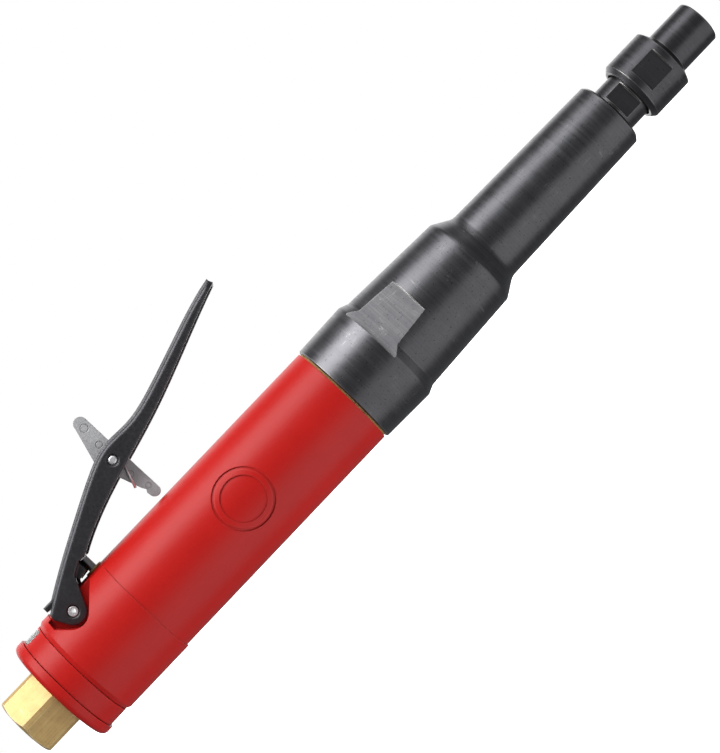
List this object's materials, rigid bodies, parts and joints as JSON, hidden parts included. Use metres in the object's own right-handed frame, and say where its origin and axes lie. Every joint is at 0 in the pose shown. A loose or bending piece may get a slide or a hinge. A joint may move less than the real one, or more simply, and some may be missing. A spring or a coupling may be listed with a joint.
{
  "type": "die grinder",
  "caption": "Straight pneumatic die grinder with extended steel barrel, collet, red handle, lever throttle with lock-off latch and hexagonal rear air inlet.",
  "frame": {"origin": "on the spindle axis at the collet's mouth", "axes": "+X along the spindle out of the nose, +Z to the lever side, +Y to the far side"},
  "size_m": [0.3286, 0.042, 0.0804],
  "materials": {
    "red_composite": "fine-grained semi-matte glass-filled nylon",
    "black_steel": "black oxide over turned steel",
    "bright_steel": "ground steel",
    "brass": "drawn and turned",
    "zinc": "die-cast and tumbled",
    "aluminium": "machined",
    "stainless_mesh": "woven wire",
    "grey_felt": "porous pad",
    "black_rubber": "moulded",
    "tan_gasket": "fibre gasket",
    "phenolic": "laminate"
  },
  "bodies": {
    "housing": {"inlet_bushing": "brass", "inlet_screen": "stainless_mesh", "rear_cap": "red_composite", "muffler_pad": "grey_felt", "deflector_oring": "black_rubber", "grip_housing": "red_composite", "backhead": "aluminium", "valve_seat": "black_rubber", "valve_spring": "bright_steel", "throttle_bush": "brass", "throttle_pin_oring": "black_rubber", "lever_pin": "bright_steel", "joint_gasket": "tan_gasket", "extension_housing": "black_steel", "front_retainer": "bright_steel", "barrel_insert": "bright_steel", "rear_end_plate": "aluminium", "front_end_plate": "aluminium", "cylinder": "bright_steel", "wave_washer": "bright_steel", "rotor_rear_bearing_outer_ring": "bright_steel", "rotor_front_bearing_outer_ring": "bright_steel", "spindle_rear_bearing_outer_ring": "bright_steel", "spindle_front_bearing_outer_ring": "bright_steel"},
    "spindle": {"rotor": "bright_steel", "vane_1": "phenolic", "vane_2": "phenolic", "vane_3": "phenolic", "vane_4": "phenolic", "vane_5": "phenolic", "drive_coupling": "bright_steel", "extension_spindle": "bright_steel", "bearing_spacer": "bright_steel", "collet_body": "black_steel", "collet": "bright_steel", "rotor_rear_bearing_inner_ring": "bright_steel", "rotor_front_bearing_inner_ring": "bright_steel", "spindle_rear_bearing_inner_ring": "bright_steel", "spindle_front_bearing_inner_ring": "bright_steel"},
    "nut": {"collet_nut": "black_steel"},
    "deflector": {"exhaust_deflector": "red_composite", "exhaust_screen": "stainless_mesh"},
    "lever": {"throttle_lever": "black_steel", "latch_pin": "bright_steel"},
    "latch": {"lock_latch": "zinc", "latch_spring": "bright_steel"},
    "plunger": {"throttle_pin": "bright_steel"},
    "valve": {"tilt_valve": "bright_steel"},
    "rotor_rear_bearing_set": {"rotor_rear_bearing_balls": "bright_steel", "rotor_rear_bearing_cage": "brass"},
    "rotor_front_bearing_set": {"rotor_front_bearing_balls": "bright_steel", "rotor_front_bearing_cage": "brass"},
    "spindle_rear_bearing_set": {"spindle_rear_bearing_balls": "bright_steel", "spindle_rear_bearing_cage": "brass"},
    "spindle_front_bearing_set": {"spindle_front_bearing_balls": "bright_steel", "spindle_front_bearing_cage": "brass"}
  },
  "joints": [
    {"name": "rotor_spin", "type": "hinge", "parent": "housing", "child": "spindle", "pos_m": [0, 0, 0], "axis": [1, 0, 0], "continuous": true},
    {"name": "collet_nut_turn", "type": "hinge", "parent": "spindle", "child": "nut", "pos_m": [0, 0, 0], "axis": [1, 0, 0], "range_deg": [0, 300]},
    {"name": "deflector_turn", "type": "hinge", "parent": "housing", "child": "deflector", "pos_m": [-0.3084, 0, 0], "axis": [1, 0, 0], "continuous": true},
    {"name": "lever_press", "type": "hinge", "parent": "housing", "child": "lever", "pos_m": [-0.2891, 0, 0.0151], "axis": [0, 1, 0], "range_deg": [0, 7.6], "stiffness_Nm_per_rad": 0.85, "springref_deg": -11.46},
    {"name": "latch_turn", "type": "hinge", "parent": "lever", "child": "latch", "pos_m": [-0.2442, 0, 0.0402], "axis": [0, 1, 0], "range_deg": [0, 76], "stiffness_Nm_per_rad": 0.004, "springref_deg": -28.65, "deforming": ["latch_spring"]},
    {"name": "throttle_slide", "type": "slide", "parent": "housing", "child": "plunger", "axis": [0, 0, -1], "range_m": [0, 0.00197]},
    {"name": "valve_tilt", "type": "hinge", "parent": "housing", "child": "valve", "pos_m": [-0.29, 0, 0.0046], "axis": [0, 1, 0], "range_deg": [0, 7.49], "deforming": ["valve_spring"]},
    {"name": "rotor_rear_bearing_roll", "type": "hinge", "parent": "housing", "child": "rotor_rear_bearing_set", "pos_m": [-0.2279, 0, 0], "axis": [1, 0, 0], "continuous": true},
    {"name": "rotor_front_bearing_roll", "type": "hinge", "parent": "housing", "child": "rotor_front_bearing_set", "pos_m": [-0.1649, 0, 0], "axis": [1, 0, 0], "continuous": true},
    {"name": "spindle_rear_bearing_roll", "type": "hinge", "parent": "housing", "child": "spindle_rear_bearing_set", "pos_m": [-0.1218, 0, 0], "axis": [1, 0, 0], "continuous": true},
    {"name": "spindle_front_bearing_roll", "type": "hinge", "parent": "housing", "child": "spindle_front_bearing_set", "pos_m": [-0.0506, 0, 0], "axis": [1, 0, 0], "continuous": true}
  ],
  "couplings": [
    {"joint": "latch_turn", "follows": "lever_press", "ratio": 10},
    {"joint": "throttle_slide", "follows": "lever_press", "m_per_rad": 0.014827},
    {"joint": "valve_tilt", "follows": "lever_press", "ratio": 0.9847},
    {"joint": "rotor_rear_bearing_roll", "follows": "rotor_spin", "ratio": 0.368},
    {"joint": "rotor_front_bearing_roll", "follows": "rotor_spin", "ratio": 0.368},
    {"joint": "spindle_rear_bearing_roll", "follows": "rotor_spin", "ratio": 0.401},
    {"joint": "spindle_front_bearing_roll", "follows": "rotor_spin", "ratio": 0.401}
  ]
}
